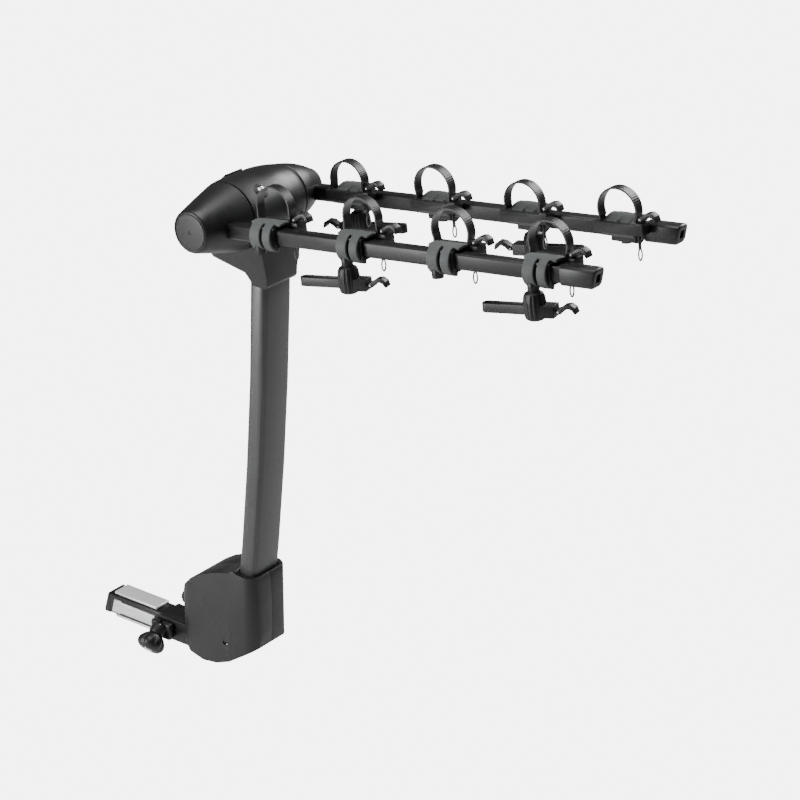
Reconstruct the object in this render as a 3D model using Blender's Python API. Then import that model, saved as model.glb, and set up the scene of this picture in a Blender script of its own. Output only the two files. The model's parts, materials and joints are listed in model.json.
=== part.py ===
"""Hitch mounted bike rack: a tongue for a car's receiver, a tilting mast and two folding arms.

Lengths are in millimetres and become metres when a mesh is finished. +X points away from the
car, +Z up. The numbers below are measured from a point near the mast's foot; a parent empty
moves everything so that the origin is on the tongue's centre line at the receiver's mouth.
"""
import math

import bmesh
import bpy
from mathutils import Matrix, Vector

MM = 0.001
GAP = 0.3

# Tongue and base
TONGUE_SIZE = 50.8
TUBE_SIZE = 40.0
TUBE_WALL = 4.0
TONGUE_BACK = -316.0
TONGUE_FRONT = -96.0
PLATE_WIDTH = 34.0
WEDGE_THICK = 3.6
MOUTH_X = -206.0
PLATE_X = (-306.0, MOUTH_X)
CHEEK_THICK = 6.0
TILT_PIVOT = (-67.0, 0.0, 36.0)
TILT_BOLT_R = 6.0
# The tongue's centre line lies this far above the zero height of the numbers in this file.
TONGUE_Z = -6.0

# Knob on the tongue's near side
KNOB_CENTRE = (-178.0, -62.0, TONGUE_Z - 14.0)
KNOB_TILT = math.radians(42.0)
KNOB_R = 25.0

# Mast
MAST_WIDE = 70.0
MAST_DEEP = 35.0
MAST_CORNER = 11.0
MAST_WALL = 3.0
MAST_Z = (62.0, 746.0)
FOOT_HALF = 31.4

# Shroud round the mast's foot
SHROUD_HALF = 47.0
SHROUD_WALL = 3.5
SHROUD_FRONT = 47.0
SHROUD_BACK = -126.0
SHROUD_CORNER = 25.0

# Head
HEAD_X = 31.0
HEAD_Z = 818.0
HOUSING_R = 59.5
HOUSING_HALF = 68.0
SEAM_R = {"near": 58.0, "far": 50.0}
HUB_NOSE_R = {"near": 35.5, "far": 25.0}
HUB_END = {"near": 157.0, "far": 140.0}
HUB_BULGE = {"near": 0.3, "far": 3.2}
LOCK_Y = -34.0
LOCK_ANGLE = math.radians(46.0)
SHAFT_R = 10.0
SHAFT_END = {"near": 142.0, "far": 128.0}

# Arms
ARM_Y = 110.0
ARM_TILT = math.radians(6.93)
ARM_ROOT = (31.0, 813.0)
ARM_WIDE = 22.0
ARM_TALL = 25.4
ARM_CORNER = 5.0
ARM_WALL = 2.5
ARM_SPAN = (21.0, 712.0)
CAP_SPAN = (671.0, 729.0)
CAP_WALL = 2.6

# Cradles along each arm
CRADLE_COUNT = 4
CRADLE_FIRST = 123.7
CRADLE_PITCH = 170.65
PAD_HALF = 21.0
PAD_R = 24.0
LOBES = ((-22.0, -3.0), (3.0, 18.0))
STRAP_INSET = 20.3
STRAP_WIDE = 17.0
STRAP_THICK = 3.0
STRAP_HALF = 33.3
# Each strap's ring: radius, height of its top, and how far it leans along the arm
STRAP_RINGS = {
    "near": ((33.3, 74.0, 0.0), (32.5, 73.5, 0.0), (34.8, 73.0, -1.5), (34.8, 73.0, 1.0)),
    "far": ((33.3, 67.0, 1.0), (34.8, 73.0, 1.0), (33.5, 64.0, 0.0), (34.8, 71.0, 1.0)),
}
STRAP_FOOT = 13.8
TAIL_WIDE = 6.4
BUCKLE_TOP = 19.0
SWAY_AT = {"near": (1, 3), "far": (0, 2)}
SWAY_TURN = math.radians(12.0)
SWAY_AXIS = (-12.0, 12.0)
SWAY_TOP = -27.2
LATCH_PIVOT = (STRAP_HALF + 6.5, BUCKLE_TOP + 5.0)

SIDES = {"near": -1.0, "far": 1.0}


# ---------------------------------------------------------------- scene and materials

def clear_scene():
    for item in list(bpy.data.objects):
        bpy.data.objects.remove(item, do_unlink=True)


def material(name, colour, roughness, metallic=0.0):
    mat = bpy.data.materials.new(name)
    mat.use_nodes = True
    shader = mat.node_tree.nodes["Principled BSDF"]
    shader.inputs["Base Color"].default_value = (*colour, 1.0)
    shader.inputs["Roughness"].default_value = roughness
    shader.inputs["Metallic"].default_value = metallic
    return mat


# ---------------------------------------------------------------- mesh helpers

def extrude_outline(bm, outline, axis, low, high):
    """A closed prism: outline holds (first, second) pairs on the two other axes."""
    def point(pair, along):
        first, second = pair
        if axis == "X":
            return Vector((along, first, second))
        if axis == "Y":
            return Vector((first, along, second))
        return Vector((first, second, along))

    bottom = [bm.verts.new(point(pair, low)) for pair in outline]
    top = [bm.verts.new(point(pair, high)) for pair in outline]
    bm.faces.new(bottom)
    bm.faces.new(top)
    for i in range(len(outline)):
        j = (i + 1) % len(outline)
        bm.faces.new((bottom[i], bottom[j], top[j], top[i]))


def add_box(bm, low, high):
    outline = [(low[0], low[1]), (high[0], low[1]), (high[0], high[1]), (low[0], high[1])]
    extrude_outline(bm, outline, "Z", low[2], high[2])


def arc(centre, radius, start, end, steps):
    """Points on an arc, angles in degrees from the first axis towards the second."""
    points = []
    for i in range(steps + 1):
        angle = math.radians(start + (end - start) * i / steps)
        points.append((centre[0] + radius * math.cos(angle), centre[1] + radius * math.sin(angle)))
    return points


def round_rect(half_a, half_b, radius, steps=3):
    """A rounded rectangle round the origin."""
    points = []
    for sign_a, sign_b, start in ((1, 1, 0), (-1, 1, 90), (-1, -1, 180), (1, -1, 270)):
        centre = (sign_a * (half_a - radius), sign_b * (half_b - radius))
        points += arc(centre, radius, start, start + 90, steps)
    return points


def loft(bm, rings, closed=False):
    """Skin through rings of points; the ends are capped unless the run is closed."""
    loops = [[bm.verts.new(p) for p in ring] for ring in rings]
    count = len(loops[0])
    last = len(loops) if closed else len(loops) - 1
    for k in range(last):
        lower = loops[k]
        upper = loops[(k + 1) % len(loops)]
        for i in range(count):
            j = (i + 1) % count
            bm.faces.new((lower[i], lower[j], upper[j], upper[i]))
    if not closed:
        bm.faces.new(loops[0])
        bm.faces.new(loops[-1])


def turn_profile(bm, profile, centre=(0.0, 0.0, 0.0), segments=24, axis="Y"):
    """Turn a closed (along, radius) profile round an axis; a radius of 0 is on the axis."""
    rings = []
    for along, radius in profile:
        if radius < 1e-6:
            point = {"Y": (0, along, 0), "X": (along, 0, 0), "Z": (0, 0, along)}[axis]
            rings.append([bm.verts.new(Vector(centre) + Vector(point))])
            continue
        ring = []
        for i in range(segments):
            angle = 2 * math.pi * i / segments
            c = radius * math.cos(angle)
            s = radius * math.sin(angle)
            point = {"Y": (c, along, s), "X": (along, c, s), "Z": (c, s, along)}[axis]
            ring.append(bm.verts.new(Vector(centre) + Vector(point)))
        rings.append(ring)
    for k in range(len(rings)):
        first = rings[k]
        second = rings[(k + 1) % len(rings)]
        if len(first) == 1 and len(second) == 1:
            continue
        for i in range(segments):
            j = (i + 1) % segments
            if len(first) == 1:
                bm.faces.new((first[0], second[j], second[i]))
            elif len(second) == 1:
                bm.faces.new((first[i], first[j], second[0]))
            else:
                bm.faces.new((first[i], first[j], second[j], second[i]))


def cylinder(bm, centre, radius, axis, low, high, segments=24):
    profile = [(low, 0.0), (low, radius), (high, radius), (high, 0.0)]
    turn_profile(bm, profile, centre, segments, axis)


def band(bm, path, y_low, y_high, thick):
    """A flat band along an open path in the XZ plane; path is its middle line."""
    count = len(path)
    outer = []
    inner = []
    for i in range(count):
        before = Vector(path[max(i - 1, 0)])
        after = Vector(path[min(i + 1, count - 1)])
        along = (after - before).normalized()
        side = Vector((-along.y, along.x)) * (thick / 2)
        outer.append(Vector(path[i]) + side)
        inner.append(Vector(path[i]) - side)
    outline = [tuple(p) for p in outer] + [tuple(p) for p in reversed(inner)]
    loft(bm, [[(p[0], y_low, p[1]) for p in outline], [(p[0], y_high, p[1]) for p in outline]])


def mesh_from(bm, name):
    """Finish a mesh: millimetres to metres, faces turned outwards."""
    bmesh.ops.remove_doubles(bm, verts=bm.verts, dist=1e-4)
    bmesh.ops.scale(bm, vec=(MM, MM, MM), verts=bm.verts)
    bmesh.ops.recalc_face_normals(bm, faces=bm.faces)
    mesh = bpy.data.meshes.new(name)
    bm.to_mesh(mesh)
    bm.free()
    mesh.shade_smooth()
    mesh.set_sharp_from_angle(angle=math.radians(35))
    return mesh


def make_origin():
    """The empty that every part hangs from: it puts the receiver's mouth at the origin."""
    empty = bpy.data.objects.new("rack_origin", None)
    bpy.context.scene.collection.objects.link(empty)
    empty.location = (-MOUTH_X * MM, 0.0, -TONGUE_Z * MM)
    return empty


def place(name, mesh, mat, matrix=None):
    item = bpy.data.objects.new(name, mesh)
    bpy.context.scene.collection.objects.link(item)
    if mat is not None and not mesh.materials:
        mesh.materials.append(mat)
    if matrix is not None:
        item.matrix_world = matrix
    item.parent = bpy.data.objects["rack_origin"]
    return item


def build(name, mat, draw, matrix=None):
    bm = bmesh.new()
    draw(bm)
    return place(name, mesh_from(bm, name), mat, matrix)


def cutter(name, draw, matrix=None):
    item = build(name, None, draw, matrix)
    item.hide_render = True
    item.display_type = "WIRE"
    return item


def cut(item, tool, operation="DIFFERENCE"):
    modifier = item.modifiers.new(tool.name, "BOOLEAN")
    modifier.operation = operation
    modifier.solver = "EXACT"
    modifier.object = tool


def bevel(item, width, segments=2, angle=35.0):
    modifier = item.modifiers.new("edges", "BEVEL")
    modifier.width = width * MM
    modifier.segments = segments
    modifier.limit_method = "ANGLE"
    modifier.angle_limit = math.radians(angle)


def spot(x, y, z):
    """A translation in millimetres."""
    return Matrix.Translation(Vector((x, y, z)) * MM)


# ---------------------------------------------------------------- base and tongue

def make_tongue(black, zinc, plastic):
    def tube(bm):
        half = TUBE_SIZE / 2
        inner = half - TUBE_WALL
        outer_ring = round_rect(half, half, 4.0, 2)
        inner_ring = round_rect(inner, inner, 1.5, 2)
        x_ends = (TONGUE_BACK, TONGUE_FRONT)
        loft(bm, [[(x_ends[0], y, z) for y, z in outer_ring],
                  [(x_ends[1], y, z) for y, z in outer_ring],
                  [(x_ends[1], y, z) for y, z in inner_ring],
                  [(x_ends[0], y, z) for y, z in inner_ring]], closed=True)
    level = spot(0, 0, TONGUE_Z)
    build("tongue_tube", black, tube, level)

    cap = build("tongue_end_cap", plastic, end_cap_body, level)
    plug = cutter("end_cap_plug", end_cap_plug, level)
    cut(cap, plug, "UNION")
    half = PLATE_WIDTH / 2
    near = TUBE_SIZE / 2 + GAP
    far = TONGUE_SIZE / 2
    for name, low, high in (("upper", near, far), ("lower", -far, -near)):
        plate = build(name + "_adapter_plate", zinc, lambda bm: add_box(
            bm, (PLATE_X[0], -half, low), (PLATE_X[1], half, high)), level)
        bevel(plate, 1.0, 1)


def end_cap_body(bm):
    half = TUBE_SIZE / 2
    face = TONGUE_BACK - GAP
    profile = [(face, half), (face - 3.0, half), (face - 13.0, -half + 6.0),
               (face - 13.0, -half), (face, -half)]
    extrude_outline(bm, profile, "Y", -half, half)


def end_cap_plug(bm):
    plug = TUBE_SIZE / 2 - TUBE_WALL - 3 * GAP
    face = TONGUE_BACK - GAP
    add_box(bm, (face - 2.0, -plug, -plug), (face + 14.0, plug, plug))


def wedge_outline():
    """Side view of the wedge plate: a wide square end, then a narrower strip."""
    back = PLATE_X[0] - 2.0
    return [(back, -12.5), (back + 18.0, -12.5), (back + 21.0, -10.5), (PLATE_X[1], -10.5),
            (PLATE_X[1], 10.5), (back + 24.0, 10.5), (back + 22.0, 12.5), (back + 6.0, 12.5)]


def make_wedge(zinc):
    face = spot(0, -TUBE_SIZE / 2 - GAP, TONGUE_Z)

    def plate(bm):
        extrude_outline(bm, wedge_outline(), "Y", 0.0, -WEDGE_THICK)
    item = build("wedge_plate", zinc, plate, face)
    hole = cutter("wedge_hole", lambda bm: cylinder(
        bm, (PLATE_X[0] + 12.0, 0, 0), 2.6, "Y", -2.0, -6.0, 12), face)
    cut(item, hole)


def make_base_bracket(black, zinc):
    inner = TUBE_SIZE / 2 + GAP
    outer = inner + CHEEK_THICK
    px = TILT_PIVOT[0]
    pz = TILT_PIVOT[2] - TONGUE_Z
    level = spot(0, 0, TONGUE_Z)

    def cheek_outline():
        points = [(-200.0, 14.0), (-200.0, -14.0), (-192.0, -20.0), (-112.0, -20.0)]
        points += [(-70.0, -16.0)]
        points += arc((px, pz), 20.0, -60.0, 150.0, 10)
        points += [(-112.0, 20.0), (-192.0, 20.0)]
        return points

    bracket = build("base_bracket", black,
                    lambda bm: extrude_outline(bm, cheek_outline(), "Y", -outer, outer), level)
    slot = cutter("bracket_slot", lambda bm: add_box(
        bm, (-210.0, -inner, -40.0), (TONGUE_FRONT + GAP, inner, 80.0)), level)
    throat = cutter("bracket_throat", lambda bm: add_box(
        bm, (-120.0, -inner, 12.0), (0.0, inner, 80.0)), level)
    pin = cutter("bracket_pin_hole", lambda bm: cylinder(
        bm, (px, 0, pz), TILT_BOLT_R + GAP, "Y", -60.0, 60.0), level)
    for tool in (slot, throat, pin):
        cut(bracket, tool)

    def pivot(bm):
        head = MAST_WIDE / 2 - 0.6
        profile = [(-head, 0.0), (-head, TILT_BOLT_R), (head, TILT_BOLT_R), (head, 0.0)]
        turn_profile(bm, profile, (px, 0, pz), 20)
    build("tilt_pivot_bolt", zinc, pivot, level)


def knob_frame():
    """Knob's own frame: +X stays, +Y points out along the screw, down and away."""
    turn = Matrix.Rotation(math.pi, 4, "Z") @ Matrix.Rotation(-KNOB_TILT, 4, "X")
    return spot(*KNOB_CENTRE) @ turn


def make_knob(plastic, zinc, chrome):
    frame = knob_frame()

    def knob(bm):
        profile = [(-15.0, 5.4), (-15.0, 13.0), (-11.0, 18.0), (-6.0, 23.0), (0.0, KNOB_R),
                   (7.0, KNOB_R), (12.0, 22.5), (15.0, 17.0), (15.0, 8.6), (1.0, 8.6),
                   (1.0, 5.4)]
        turn_profile(bm, profile, segments=28)
    build("tightening_knob", plastic, knob, frame)

    def screw(bm):
        profile = [(-34.0, 0.0), (-34.0, 4.6), (-16.0, 4.6), (-16.0, 5.0), (0.6, 5.0), (0.6, 0.0)]
        turn_profile(bm, profile, segments=12)
    build("draw_bolt", zinc, screw, frame)

    def core(bm):
        profile = [(1.4, 0.0), (1.4, 8.2), (14.0, 8.2), (16.0, 6.6), (16.0, 0.0)]
        turn_profile(bm, profile, segments=16)
    build("knob_lock_core", chrome, core, frame)


def make_knob_housing(plastic):
    """The moulded elbow between the bracket's near cheek and the knob."""
    cheek = TUBE_SIZE / 2 + GAP + CHEEK_THICK

    def elbow(bm):
        add_box(bm, (-200.0, -cheek - 14.0, -16.0), (-156.0, -cheek - GAP, 15.0))
    housing = build("knob_housing", plastic, elbow, spot(0, 0, TONGUE_Z))
    bevel(housing, 4.0, 2)
    collar = cutter("housing_collar", lambda bm: cylinder(
        bm, (0, 0, 0), 14.0, "Y", -32.0, -15.6, 20), knob_frame())
    cut(housing, collar, "UNION")
    side = cutter("housing_side", lambda bm: add_box(
        bm, (-240.0, -cheek - GAP, -60.0), (-120.0, 20.0, 60.0)))
    cut(housing, side)
    bore = cutter("housing_bore", lambda bm: cylinder(
        bm, (0, 0, 0), 5.0 + GAP, "Y", -50.0, 5.0, 16), knob_frame())
    cut(housing, bore)


# ---------------------------------------------------------------- mast

def mast_x(z):
    """Middle of the mast at a height: a slow curve that leans out at the foot."""
    return 25.9 + 0.0909 * (z - 223.7) - 0.0000815 * (z - 223.7) * (z - 441.6)


def mast_ring(z, grow):
    slope = (mast_x(z + 1.0) - mast_x(z - 1.0)) / 2.0
    lean = math.atan(slope)
    ring = []
    for a, b in round_rect(MAST_DEEP / 2 + grow, MAST_WIDE / 2 + grow,
                           max(MAST_CORNER + grow, 1.0)):
        ring.append((mast_x(z) + a * math.cos(lean), b, z - a * math.sin(lean)))
    return ring


def mast_heights(low, high, steps):
    return [low + (high - low) * i / steps for i in range(steps + 1)]


def mast_body(bm, grow, low, high, steps=9):
    loft(bm, [mast_ring(z, grow) for z in mast_heights(low, high, steps)])


def make_mast(satin):
    def tube(bm):
        heights = mast_heights(*MAST_Z, 9)
        outer = [mast_ring(z, 0.0) for z in heights]
        inner = [mast_ring(z, -MAST_WALL) for z in reversed(heights)]
        loft(bm, outer + inner, closed=True)
    build("mast_tube", satin, tube)


def make_mast_foot(black):
    """A fork that carries the mast on the pivot bolt and reaches up inside the tube."""
    px, _, pz = TILT_PIVOT
    outline = arc((px, pz), 19.0, 100.0, 290.0, 8)
    outline += [(-8.0, 34.0), (11.0, 58.0), (18.6, 112.0), (7.4, 113.0), (1.6, 64.0), (-30.0, 58.0)]
    fork = build("mast_foot", black,
                 lambda bm: extrude_outline(bm, outline, "Y", -FOOT_HALF, FOOT_HALF))
    gap = cutter("foot_gap", lambda bm: add_box(
        bm, (-120.0, -FOOT_HALF + 4.0, 0.0), (40.0, FOOT_HALF - 4.0, 96.0)))
    pin = cutter("foot_pin_hole", lambda bm: cylinder(
        bm, (px, 0, pz), TILT_BOLT_R + GAP, "Y", -60.0, 60.0, 20))
    cut(fork, gap)
    cut(fork, pin)


def shroud_outline(inset):
    """Side view of the shroud, walking round from the front rim."""
    points = [(43.0, 163.0), (46.0, 148.0), (SHROUD_FRONT, 120.0), (SHROUD_FRONT, 60.0),
              (44.0, 29.0), (-13.0, -10.0), (-41.0, -21.5), (-72.0, -26.0), (-102.0, -18.5),
              (-120.0, 3.0), (SHROUD_BACK, 35.0), (SHROUD_BACK, 60.0), (-122.0, 86.0),
              (-113.0, 108.0), (-96.0, 126.0), (-74.0, 140.0), (-40.0, 154.0), (-8.0, 164.0),
              (-2.0, 169.0), (8.0, 165.0)]
    if inset == 0.0:
        return points
    count = len(points)
    inner = []
    for i in range(count):
        before = Vector(points[i - 1])
        here = Vector(points[i])
        after = Vector(points[(i + 1) % count])
        first = (here - before).normalized()
        second = (after - here).normalized()
        normal = Vector((first.y + second.y, -first.x - second.x))
        normal = normal.normalized() / max(0.5, normal.length / 2)
        inner.append(tuple(here + normal * inset))
    return inner


def shroud_plan(bm, inset, sides):
    """The shroud seen from above: a long rounded rectangle, the whole or one side of it."""
    half_x = (SHROUD_FRONT - SHROUD_BACK) / 2 - inset
    middle = (SHROUD_FRONT + SHROUD_BACK) / 2
    corners = round_rect(half_x, SHROUD_HALF - inset, SHROUD_CORNER - inset, 4)
    low, high = sides
    outline = [(middle + x, min(max(y, low), high)) for x, y in corners]
    extrude_outline(bm, outline, "Z", -60.0, 220.0)


def make_shroud(black_plastic):
    reach = SHROUD_HALF + 5.0
    hollow = cutter("shroud_hollow", lambda bm: extrude_outline(
        bm, shroud_outline(SHROUD_WALL), "Y", -reach, reach))
    inner_plan = cutter("shroud_inner_plan", lambda bm: shroud_plan(
        bm, SHROUD_WALL, (-reach, reach)))
    cut(hollow, inner_plan, "INTERSECT")
    passage = cutter("shroud_passage", lambda bm: mast_body(bm, 1.6, 100.0, 190.0, 3))

    def under(bm):
        outline = [(-140.0, 76.0), (-140.0, -40.0), (10.0, -40.0), (10.0, 2.0), (-14.0, 10.0),
                   (-60.0, 40.0), (-110.0, 76.0)]
        extrude_outline(bm, outline, "Y", -34.0, 34.0)
    slot = cutter("shroud_slot", under)
    window = cutter("lever_window", lambda bm: add_box(
        bm, (-150.0, -19.5, 60.0), (-106.0, 19.5, 97.0)))
    recess = cutter("shroud_recess", lambda bm: cylinder(
        bm, (-21.0, 0, 25.0), 5.0, "Y", -60.0, 60.0, 16))
    for side_name, side in SIDES.items():
        limits = sorted((side * reach, side * GAP / 2))
        half = build("shroud_" + side_name, black_plastic, lambda bm: extrude_outline(
            bm, shroud_outline(0.0), "Y", side * reach, side * GAP / 2))
        plan = cutter("shroud_plan_" + side_name, lambda bm: shroud_plan(bm, 0.0, limits))
        cut(half, plan, "INTERSECT")
        for tool in (hollow, passage, slot, window, recess):
            cut(half, tool)


def make_tilt_lever(plastic):
    """Rounded handle behind the shroud; its hinge pin line is the object's origin."""
    pivot = (-99.0, 0.0, 66.0)

    def lever(bm):
        outline = [(6.0, -6.0), (6.0, 6.0), (-4.0, 7.0), (-30.0, 10.0), (-44.0, 6.0),
                   (-48.0, -4.0), (-44.0, -15.0), (-34.0, -16.0), (-20.0, -8.0)]
        extrude_outline(bm, outline, "Y", -18.0, 18.0)
    item = build("tilt_release_lever", plastic, lever, spot(*pivot))
    bevel(item, 2.5, 2)


# ---------------------------------------------------------------- head

def make_head_bracket(black):
    def side_view(bm):
        outline = [(-32.0, 800.0), (-32.0, 742.0), (-26.0, 730.0), (38.0, 716.0), (47.0, 706.0),
                   (54.0, 697.0), (80.0, 697.0), (83.0, 702.0), (84.0, 800.0)]
        extrude_outline(bm, outline, "Y", -62.0, 62.0)
    bracket = build("head_bracket", black, side_view)

    def front_view(bm):
        outline = [(-37.2, 690.0), (37.2, 690.0), (38.5, 716.0), (45.0, 742.0), (53.0, 775.0),
                   (60.0, 801.0), (-60.0, 801.0), (-53.0, 775.0), (-45.0, 742.0), (-38.5, 716.0)]
        extrude_outline(bm, outline, "X", -60.0, 110.0)
    flare = cutter("bracket_flare", front_view)
    cut(bracket, flare, "INTERSECT")
    around = ([(-HOUSING_HALF, 0.0)] + [(y, r + GAP) for y, r in barrel_profile()]
              + [(HOUSING_HALF, 0.0)])
    barrel = cutter("bracket_barrel", lambda bm: turn_profile(
        bm, around, (HEAD_X, 0, HEAD_Z), 40))
    cut(bracket, barrel)
    socket = cutter("bracket_socket", lambda bm: mast_body(bm, GAP, 680.0, MAST_Z[1] + 0.6, 3))
    cut(bracket, socket)


def barrel_profile():
    """Outside of the barrel from the near seam to the far one."""
    near = SEAM_R["near"]
    far = SEAM_R["far"]
    shoulder = (HOUSING_R + far) / 2 + 1.2
    return [(-HOUSING_HALF, near), (-40.0, HOUSING_R), (4.0, HOUSING_R), (40.0, shoulder),
            (HOUSING_HALF, far)]


def make_head_housing(plastic):
    """A hollow barrel whose two inner webs carry the cross shaft in a running clearance."""
    web = (48.0, 55.0)
    bush = SHAFT_R + GAP
    wall = 6.0

    def shell(bm):
        near = SEAM_R["near"] - wall
        far = SEAM_R["far"] - wall
        inside = [(HOUSING_HALF, far), (web[1], far), (web[1], bush), (web[0], bush),
                  (web[0], far), (-web[0], near), (-web[0], bush), (-web[1], bush),
                  (-web[1], near), (-HOUSING_HALF, near)]
        turn_profile(bm, barrel_profile() + inside, segments=40)
    housing = build("head_housing", plastic, shell, spot(HEAD_X, 0, HEAD_Z))
    bore = cutter("lock_bore", lambda bm: cylinder(bm, (0, 0, 0), 8.4, "X", 30.0, 90.0, 16),
                  lock_frame())
    cut(housing, bore)


def lock_frame():
    """The lock's own frame: +X points out of the housing through the lock."""
    return spot(HEAD_X, LOCK_Y, HEAD_Z) @ Matrix.Rotation(-LOCK_ANGLE, 4, "Y")


def make_head_lock(chrome):
    def core(bm):
        profile = [(44.0, 0.0), (44.0, 8.0), (HOUSING_R + 1.0, 8.0), (HOUSING_R + 2.5, 6.6),
                   (HOUSING_R + 2.5, 0.0)]
        turn_profile(bm, profile, segments=16, axis="X")
    build("head_lock_core", chrome, core, lock_frame())


def make_fold_lever(plastic):
    """Curved paddle on the back of the housing, hinged at its lower edge."""
    back = 178.0
    reach = HOUSING_R + 2.5
    pivot = (HEAD_X + reach * math.cos(math.radians(back)), -6.0,
             HEAD_Z + reach * math.sin(math.radians(back)))

    def paddle(bm):
        outline = arc((HEAD_X, HEAD_Z), HOUSING_R + 0.6, back, back - 48.0, 8)
        outline += arc((HEAD_X, HEAD_Z), HOUSING_R + 4.4, back - 50.0, back, 8)
        local = [(x - pivot[0], z - pivot[2]) for x, z in outline]
        extrude_outline(bm, local, "Y", -21.0, 21.0)
    item = build("fold_release_lever", plastic, paddle, spot(*pivot))
    bevel(item, 1.0, 2, 50.0)


def make_hubs(plastic, steel):
    def shaft(bm):
        low = -SHAFT_END["near"]
        high = SHAFT_END["far"]
        profile = [(low, 0.0), (low, SHAFT_R), (high, SHAFT_R), (high, 0.0)]
        turn_profile(bm, profile, (HEAD_X, 0, HEAD_Z), 20)
    build("cross_shaft", steel, shaft)
    for name, side in SIDES.items():
        def hub(bm):
            start = HOUSING_HALF + 0.6
            seam = SEAM_R[name]
            nose = HUB_NOSE_R[name]
            tip = HUB_END[name]
            hole = SHAFT_END[name] + GAP
            steps = [(start, SHAFT_R + GAP), (start, seam - 1.2), (start + 1.4, seam)]
            for share, part in ((0.25, 0.7), (0.5, 1.0), (0.75, 0.9), (0.92, 0.5)):
                along = start + (tip - start) * share
                steps.append((along, seam + (nose - seam) * share + HUB_BULGE[name] * part))
            steps += [(tip, nose), (tip + 1.5, nose - 2.5), (tip + 1.5, 0.0), (hole, 0.0),
                      (hole, SHAFT_R + GAP)]
            turn_profile(bm, [(side * y, r) for y, r in steps], segments=36)
        item = build(name + "_arm_hub", plastic, hub, spot(HEAD_X, 0, HEAD_Z))
        pocket = cutter(name + "_hub_pocket", lambda bm: loft(
            bm, arm_rings(GAP, ARM_SPAN[0] - GAP, 120.0)), arm_frame(side))
        cut(item, pocket)


# ---------------------------------------------------------------- arms

def arm_frame(side):
    """+X runs out along the arm, +Z is square to it; the origin is on the arm's middle line."""
    tilt = Matrix.Rotation(-ARM_TILT, 4, "Y")
    return spot(ARM_ROOT[0], side * ARM_Y, ARM_ROOT[1]) @ tilt


def arm_rings(grow, low, high, wall=None):
    outline = round_rect(ARM_WIDE / 2 + grow, ARM_TALL / 2 + grow, ARM_CORNER + grow)
    rings = [[(x, y, z) for y, z in outline] for x in (low, high)]
    if wall is not None:
        inner = round_rect(ARM_WIDE / 2 - wall, ARM_TALL / 2 - wall, ARM_CORNER - wall)
        rings += [[(x, y, z) for y, z in inner] for x in (high, low)]
    return rings


def make_arm(name, side, steel):
    build(name + "_arm_tube", steel,
          lambda bm: loft(bm, arm_rings(0.0, *ARM_SPAN, ARM_WALL), closed=True), arm_frame(side))


def end_cap_mesh():
    """A moulded sleeve over the arm's end with a raked end face and a small slot."""
    low, high = CAP_SPAN
    outline = round_rect(ARM_WIDE / 2 + CAP_WALL, ARM_TALL / 2 + CAP_WALL, ARM_CORNER + 2.0)
    inner = round_rect(ARM_WIDE / 2 + GAP, ARM_TALL / 2 + GAP, ARM_CORNER + GAP)
    bottom = ARM_SPAN[1] + GAP

    def ring(points, x, rake):
        return [(x + rake * z / ARM_TALL, y, z) for y, z in points]
    bm = bmesh.new()
    loft(bm, [ring(outline, low, 0.0), ring(outline, high - 3.0, 7.0),
              ring([(y * 0.9, z * 0.9) for y, z in outline], high, 7.0),
              ring([(y * 0.36, z * 0.42) for y, z in outline], high, 7.0),
              ring([(y * 0.36, z * 0.42) for y, z in outline], bottom + 3.0, 0.0),
              ring([(y * 0.5, z * 0.5) for y, z in inner], bottom, 0.0),
              ring(inner, bottom, 0.0), ring(inner, low, 0.0)], closed=True)
    return mesh_from(bm, "arm_end_cap")


def make_end_caps(plastic):
    mesh = end_cap_mesh()
    for name, side in SIDES.items():
        place(name + "_arm_cap", mesh, plastic, arm_frame(side))


def cradle_frame(side, index):
    return arm_frame(side) @ spot(CRADLE_FIRST + CRADLE_PITCH * index, 0, 0)


def evaluated_mesh(item, name):
    """The item's mesh with its modifiers applied; the item is removed."""
    bpy.context.view_layer.update()
    graph = bpy.context.evaluated_depsgraph_get()
    mesh = bpy.data.meshes.new_from_object(item.evaluated_get(graph))
    mesh.name = name
    bpy.data.objects.remove(item, do_unlink=True)
    return mesh


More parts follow.
